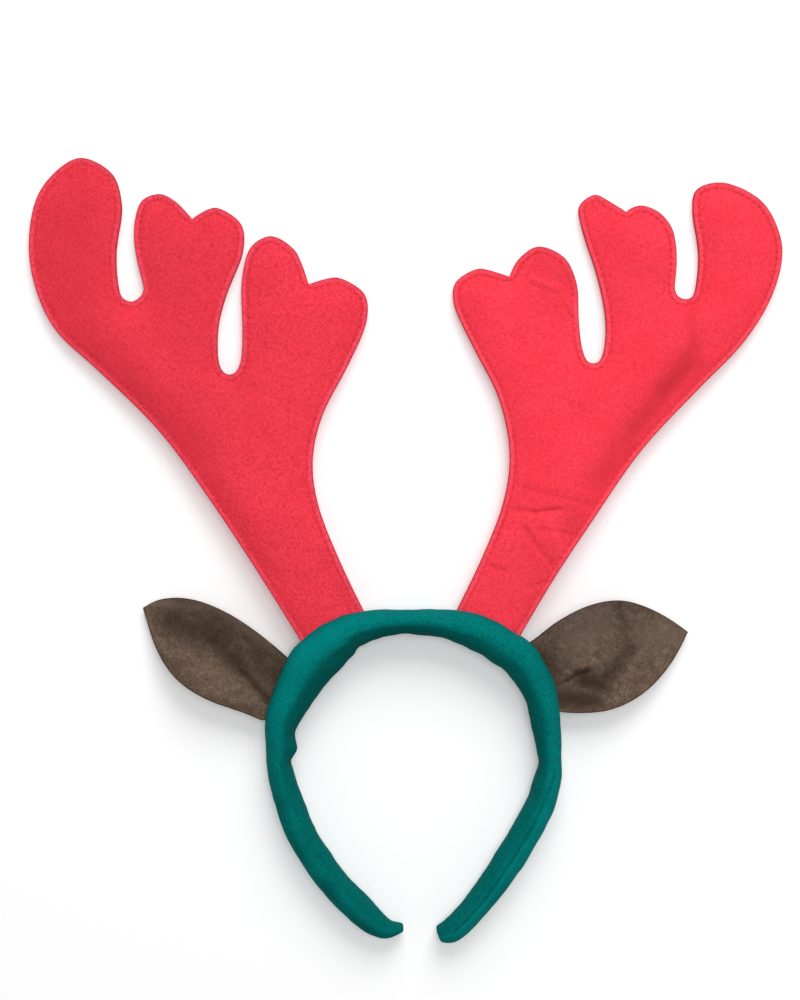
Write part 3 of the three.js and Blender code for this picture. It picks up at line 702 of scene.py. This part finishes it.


# %% [markdown]
# The sleeve isn't even. Its felt gathers on the inside of the bend, where there is too much of it, puckers
# at two places on the left, and a sewn line runs down the front of the right leg. Each is a small change of
# the ring's radius, by how far along and how far round a point is. The side towards the head is painted
# darker, as shade, the front is painted lighter, as a highlight, and the sewn line gets painted shade.

# %% Say where the sleeve gathers
# Gathers in the sleeve: at a section number, how far round from the outside (0) over the front (0.25) to
# the inside (0.5), its depth and its length along in millimetres, and its width round as a share of a turn
gathers = [
    ("pucker", after("left side, pinched", 0.05), 0.47, 1.2, 2.4, 0.08),
    ("pucker, above", after("left side, pinched again", 0.2), 0.47, 1.0, 2.2, 0.07),
    ("pucker's tail", after("left side, gathered", -0.3), 0.33, 0.5, 2, 0.07),
    ("fold at the ear", after("left ear root", 0.3), 0.38, 0.7, 7, 0.05),
    ("fold at the shoulder", after("left shoulder", 0.9), 0.33, 0.7, 11, 0.04),
    ("swell at the shoulder", after("left shoulder", 0.7), 0.25, -0.5, 13, 0.05),
    ("fold by the left antler", after("left of the crown", -0.4), 0.31, 0.6, 9, 0.035),
    ("fold on the crown", after("crown", 0.2), 0.3, 0.5, 16, 0.035),
    ("fold by the right antler", after("right antler, inner root", 0.3), 0.31, 0.6, 10, 0.04),
    ("fold at the right shoulder", after("right shoulder"), 0.34, 0.6, 10, 0.05),
    ("pucker, right", after("right side, pinched", 0.2), 0.46, 0.8, 4, 0.07),
    ("flap on the right leg", after("right leg, high", 0.6), 0.42, 0.7, 3, 0.06),
]
SEAM_START = after("right side, pinched", 0.4)
SEAM_END = after("right tip, full")
SEAM_FADE_IN = 0.5  # these three are in sections
SEAM_FADE_OUT = 0.3
SEAM_DRIFT_LENGTH = 1.6
SEAM_ROUND = 0.205  # how far round the sewn line begins, and how far it drifts from there
SEAM_DRIFT = 0.045
# painted shade along the sewn line, and its width as a share of a turn
SEAM_PAINTED_SHADE = 0.8
SEAM_PAINTED_SHADE_WIDTH = 0.012
RIDGE_ROUND = 0.23  # the felt is tightest along a line here, next to the side towards the head
RIDGE_WIDTH = 0.035
RIDGE_HEIGHT = 0.45 * MM
RIDGE_LENGTH = 16 * MM
RIPPLE_ROUND = 0.45  # the small gathers on the side towards the head
RIPPLE_WIDTH = 0.12
RIPPLE_HEIGHT = 0.5 * MM
RIPPLE_LENGTH = 7 * MM
WANDER = 0.02
WANDER_LENGTH = 14 * MM
# The sewn line's two swells and its groove: height in millimetres, then place and width as shares of a turn
sewn_line_shape = [(0.35, -0.045, 0.03), (0.25, 0.045, 0.03), (-1.1, 0, 0.013)]


def bell(off, width):
    """1 in the middle, falling softly to 0."""
    return math.exp(-((off / width) ** 2))


def eased(value, start, end):
    """0 before start and 1 after end, turning softly between."""
    t = min(max((value - start) / (end - start), 0), 1)
    return t * t * (3 - 2 * t)


def seam_strength(number):
    """1 along the sewn line on the right leg, fading to 0 at its ends."""
    begun = eased(number, SEAM_START - SEAM_FADE_IN, SEAM_START + SEAM_FADE_IN)
    return begun * (1 - eased(number, SEAM_END - SEAM_FADE_OUT, SEAM_END + SEAM_FADE_OUT))


def off_seam(number, round_share):
    """How far round a point is from the sewn line on the right leg, as a share of a turn."""
    return round_share - SEAM_ROUND - SEAM_DRIFT * eased(number, SEAM_START, SEAM_START + SEAM_DRIFT_LENGTH)


def wander(distance):
    """How the edge of the front wanders round the sleeve, as a share of a turn."""
    return WANDER * noise.noise(Vector((distance / WANDER_LENGTH, 0, 3)))


def surface_change(number, round_share):
    """How far the sleeve's surface stands out from its even oval, in metres."""
    distance = distance_at(number)
    change = 0.0
    for _, at, round_at, depth, length, width in gathers:
        along = bell(distance - distance_at(at), length * MM)
        change -= depth * MM * along * bell(round_share - round_at, width)
    ripple = noise.noise(Vector((distance / RIPPLE_LENGTH, round_share * 3, 0)))
    change += RIPPLE_HEIGHT * bell(round_share - RIPPLE_ROUND, RIPPLE_WIDTH) * ripple
    ridge = 0.6 + 0.8 * noise.noise(Vector((distance / RIDGE_LENGTH, 5, 0)))
    change += RIDGE_HEIGHT * ridge * bell(round_share - RIDGE_ROUND - wander(distance), RIDGE_WIDTH)
    off = off_seam(number, round_share)
    sewn_line = sum(height * bell(off - place, width) for height, place, width in sewn_line_shape)
    return change + seam_strength(number) * MM * sewn_line


INSIDE_START = (0.245, 0.31)  # the side towards the head, painted darker as shade, begins and ends over these shares of a turn
INSIDE_END = (0.6, 0.7)
# the painted highlight lies this far round, over the front, with this width
FRONT_ROUND = 0.17
FRONT_WIDTH = 0.13
PATCH_LENGTH = 12 * MM

# Painted shade on the side towards the head, and painted highlight over the front, at a few sections
sleeve_painted_shading = [
    (after("left tip"), 0.35, -0.7),
    (after("left leg, high"), 0.4, -0.6),
    (after("left side, gathered"), 0.6, 0),
    (after("left shoulder"), 0.65, 0.75),
    (after("crown"), 0.75, 0.1),
    (after("right antler, outer root"), 0.45, 0.1),
    (after("right shoulder"), 0.5, 0),
    (after("right side, pinched"), 0.5, 0.2),
    (after("right leg"), 0.3, 0.8),
    (after("right tip"), 0.35, 0.3),
]


def painted_shading(number, round_share):
    """Painted shade, more towards the head and in the sewn line, and painted highlight over the front."""
    distance = distance_at(number)
    numbers, inner_shades, front_highlights = zip(*sleeve_painted_shading)
    round_here = round_share - wander(distance)
    on_inside = eased(round_here, *INSIDE_START) * (1 - eased(round_here, *INSIDE_END))
    on_front = bell(round_here - FRONT_ROUND, FRONT_WIDTH) * (1 - on_inside)
    in_seam = SEAM_PAINTED_SHADE * seam_strength(number) * bell(off_seam(number, round_share), SEAM_PAINTED_SHADE_WIDTH)
    patch = 0.6 + 0.6 * noise.noise(Vector((distance / PATCH_LENGTH, round_share * 4, 9)))
    inner_shade = float(np.interp(number, numbers, inner_shades))
    front_highlight = float(np.interp(number, numbers, front_highlights))
    return min(inner_shade * on_inside - front_highlight * patch * on_front + in_seam, 1)


# %% Loft the sleeve
SQUARENESS = 2.3  # of the oval: 2 is an ellipse, and more has fuller corners
RING_SIDES = 56
RING_STEP = 1.5 * MM


def rounded(value):
    """A sine or a cosine, changed from a circle's to the oval's."""
    return math.copysign(abs(value) ** (2 / SQUARENESS), value)


def sleeve_point(number, round_share):
    """The place of a point on the sleeve's surface."""
    middle, out, thick, deep = section_at(number)
    turn = 2 * math.pi * round_share
    swell = surface_change(number, round_share % 1)
    aside = (thick / 2) * rounded(math.cos(turn)) + swell * math.cos(turn)
    height = (deep + MM) / 2 * (1 + rounded(math.sin(turn))) - MM + swell * math.sin(turn)
    return Vector((*(middle + out * aside), max(height, 0)))


def loft_sleeve():
    """A grid as long as the sleeve, rolled up: its x runs along the sleeve and its y goes once round."""
    shape = bmesh.new()
    rings = round(SLEEVE_LENGTH / RING_STEP)
    bmesh.ops.create_grid(shape, x_segments=rings, y_segments=RING_SIDES, size=0.5)
    shading_and_wear = shape.verts.layers.float.new("shading_and_wear")
    for vertex in shape.verts:
        number = number_at((vertex.co.x + 0.5) * SLEEVE_LENGTH)
        round_share = vertex.co.y + 0.5
        # painted shade and highlight of the sleeve
        vertex[shading_and_wear] = painted_shading(number, round_share)
        vertex.co = sleeve_point(number, round_share)
    bmesh.ops.remove_doubles(shape, verts=shape.verts, dist=0.005 * MM)
    ends = bmesh.ops.holes_fill(shape, edges=[e for e in shape.edges if e.is_boundary])["faces"]
    bmesh.ops.poke(shape, faces=ends)
    bmesh.ops.recalc_face_normals(shape, faces=shape.faces)
    return shape


def set_in_box(shape, low, high):
    """Moves a shape so that the middle of its box, seen from above, is the middle of that one."""
    xs = [v.co.x for v in shape.verts]
    ys = [v.co.y for v in shape.verts]
    move = Vector(((low[0] + high[0] - min(xs) - max(xs)) / 2, (low[1] + high[1] - min(ys) - max(ys)) / 2, 0))
    bmesh.ops.translate(shape, verts=shape.verts, vec=move)
    print("sleeve moved by, mm:", [round(v / MM, 2) for v in move])


sleeve_shape = loft_sleeve()
set_in_box(sleeve_shape, *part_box("headband_sleeve"))
sleeve = mesh_object("sleeve_felt_tube", sleeve_shape)

# %% [markdown]
# ## Blow the tube up as cloth
# Wadding pushes the felt out from inside. A cloth simulation with a little pressure does the same: the flat
# places swell and the gathers tighten. The result is kept in the mesh, and no point may move further than
# felt of this thickness gives.

# %% Let the felt tube settle as cloth
CLOTH_STEPS = 20
CLOTH_PRESSURE = 4
CLOTH_REACH = 0.8 * MM


def settle_as_cloth(piece):
    """Blows a closed felt up as cloth, and keeps each point within reach of where it was."""
    start = points_of(piece)
    cloth = piece.modifiers.new("Cloth", "CLOTH")
    cloth.settings.use_pressure = True
    cloth.settings.uniform_pressure_force = CLOTH_PRESSURE
    cloth.settings.effector_weights.gravity = 0
    for step in range(1, CLOTH_STEPS + 1):
        bpy.context.scene.frame_set(step)
    settled = points_of(piece.evaluated_get(bpy.context.evaluated_depsgraph_get()))
    piece.modifiers.remove(cloth)
    bpy.context.scene.frame_set(1)
    moved = settled - start
    far = np.linalg.norm(moved, axis=1, keepdims=True)
    move_points(piece, start + moved * np.minimum(1, CLOTH_REACH / np.maximum(far, 1e-9)))
    print("cloth moved the points by, mm: middle", round(float(np.median(far)) / MM, 2),
          "most", round(float(far.max()) / MM, 2))


settle_as_cloth(sleeve)

# %% Roughen and finish the sleeve
sleeve_lumps = [(0.4, 70), (0.28, 190), (0.16, 520)]  # height in millimetres, lumps to the metre

places = points_of(sleeve)
outwards = np.array([v.normal for v in sleeve.data.vertices])
lumps = [sum(height * noise.noise(Vector(p) * scale) for height, scale in sleeve_lumps) for p in places]
move_points(sleeve, places + outwards * np.array(lumps)[:, None] * MM)
flatten_on_table(sleeve)
store(sleeve, "rim", [FAR_FROM_RIM] * len(sleeve.data.vertices))
smooth = sleeve.modifiers.new("Subdivision", "SUBSURF")
smooth.levels = smooth.render_levels = 1
sleeve.data.materials.append(felts["sleeve"])
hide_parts("headband_sleeve")
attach(sleeve, "root")
print(sleeve.name, len(sleeve.data.polygons), "faces")

# %% [markdown]
# ## The ears
# Each ear is one leaf of brown felt, folded at its root so that it stands up in a trough. The left one is
# soft, with painted shade in its hollow, its valley and along its lower edge, and painted highlight on its
# lower half and upper edge. The right one has a sharp fold from its root, with painted shade in the fold,
# the hollow and round the root, and painted highlight on its upper half and tip.

# %% Make the ears
EAR_WAVE = 0.5 * MM
EAR_WAVES_TO_METRE = 60
EAR_CALM_RIM = 5 * MM
EAR_CREASE_RIM = 2 * MM

# Creases and patches as on the antlers: two places, then the depth or strength, and the width in millimetres
ear_creases = {
    "ear_left": [
        ("valley, root", photo(0.338, 0.698), photo(0.304, 0.677), 0.8, 2.5),
        ("valley, middle", photo(0.304, 0.677), photo(0.27, 0.645), 0.6, 4),
    ],
    "ear_right": [
        ("ridge from the root", photo(0.695, 0.682), photo(0.72, 0.668), -0.6, 2),
        ("ridge's end", photo(0.72, 0.668), photo(0.74, 0.664), -0.7, 2.2),
        ("hollow", photo(0.73, 0.682), photo(0.765, 0.685), 1.0, 4.5),
        ("hollow, rising", photo(0.765, 0.68), photo(0.785, 0.65), 0.6, 4),
        ("crease to the top edge", photo(0.785, 0.646), photo(0.771, 0.606), 0.3, 3),
    ],
}
# The patches are painted shade, and painted highlight where the strength is below 0.
ear_painted_shading = {
    "ear_left": [
        ("hollow", photo(0.212, 0.622), photo(0.268, 0.64), 0.7, 7.5),
        ("valley, wide", photo(0.268, 0.643), photo(0.298, 0.667), 0.65, 5.5),
        ("valley, narrow", photo(0.298, 0.669), photo(0.335, 0.7), 0.8, 2.4),
        ("lower edge", photo(0.2, 0.655), photo(0.25, 0.696), 0.4, 2.5),
        ("lower edge, root", photo(0.25, 0.7), photo(0.32, 0.712), 0.45, 3),
        ("upper root", photo(0.32, 0.655), photo(0.352, 0.675), 0.3, 6),
        ("upper edge, raised", photo(0.19, 0.604), photo(0.27, 0.607), -0.6, 2),
        ("upper edge, raised, low", photo(0.27, 0.607), photo(0.335, 0.643), -0.6, 2.5),
        # painted highlight on the lower half
        ("worn pale", photo(0.25, 0.662), photo(0.285, 0.683), -0.2, 4),
    ],
    "ear_right": [
        ("fold at the root", photo(0.69, 0.689), photo(0.708, 0.681), 0.6, 1.1),
        ("fold", photo(0.708, 0.681), photo(0.722, 0.674), 0.8, 1.5),
        ("fold's end", photo(0.722, 0.674), photo(0.735, 0.671), 0.9, 2.2),
        ("hollow", photo(0.73, 0.682), photo(0.752, 0.686), 0.85, 5),
        ("hollow, rising", photo(0.752, 0.686), photo(0.787, 0.65), 0.65, 4.5),
        ("crease to the top edge", photo(0.788, 0.646), photo(0.771, 0.606), 0.4, 3),
        ("root", photo(0.68, 0.66), photo(0.69, 0.69), 0.6, 7),
        ("below the hollow", photo(0.695, 0.698), photo(0.74, 0.7), 0.85, 6),
        ("upper half, raised", photo(0.72, 0.635), photo(0.75, 0.622), -0.35, 9),
        ("tip, raised", photo(0.805, 0.64), photo(0.84, 0.632), -0.3, 8),
    ],
}


def make_ear(node):
    """One ear: its leaf with waves and creases, and with the attributes that its felt reads."""
    shape = copy_of_node(node)
    area = flat_area(shape)
    rim_points = resampled(rim_line(shape, 1), RIM_STEP)
    piece = softened(f"{node}_felt", shape, 3)
    places = points_of(piece)
    off, _ = distance_to_rim(rim_points, places)
    places[:, 2] += EAR_WAVE * waves(places, EAR_WAVES_TO_METRE) * from_rim(off, EAR_CALM_RIM)
    folds = along_lines(places[:, :2], ear_creases[node])
    places[:, 2] -= folds.sum(axis=0) * MM * from_rim(off, EAR_CREASE_RIM)
    move_points(piece, places)
    store(piece, "rim", off / MM)
    # painted shade and highlight, from the patches
    store(piece, "shading_and_wear", strongest(along_lines(places[:, :2], ear_painted_shading[node])))
    flatten_on_table(piece)
    piece.data.materials.append(felts["ear"])
    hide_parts(node)
    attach(piece, "root")
    print(piece.name, len(piece.data.polygons), "faces")


for node in ("ear_left", "ear_right"):
    make_ear(node)
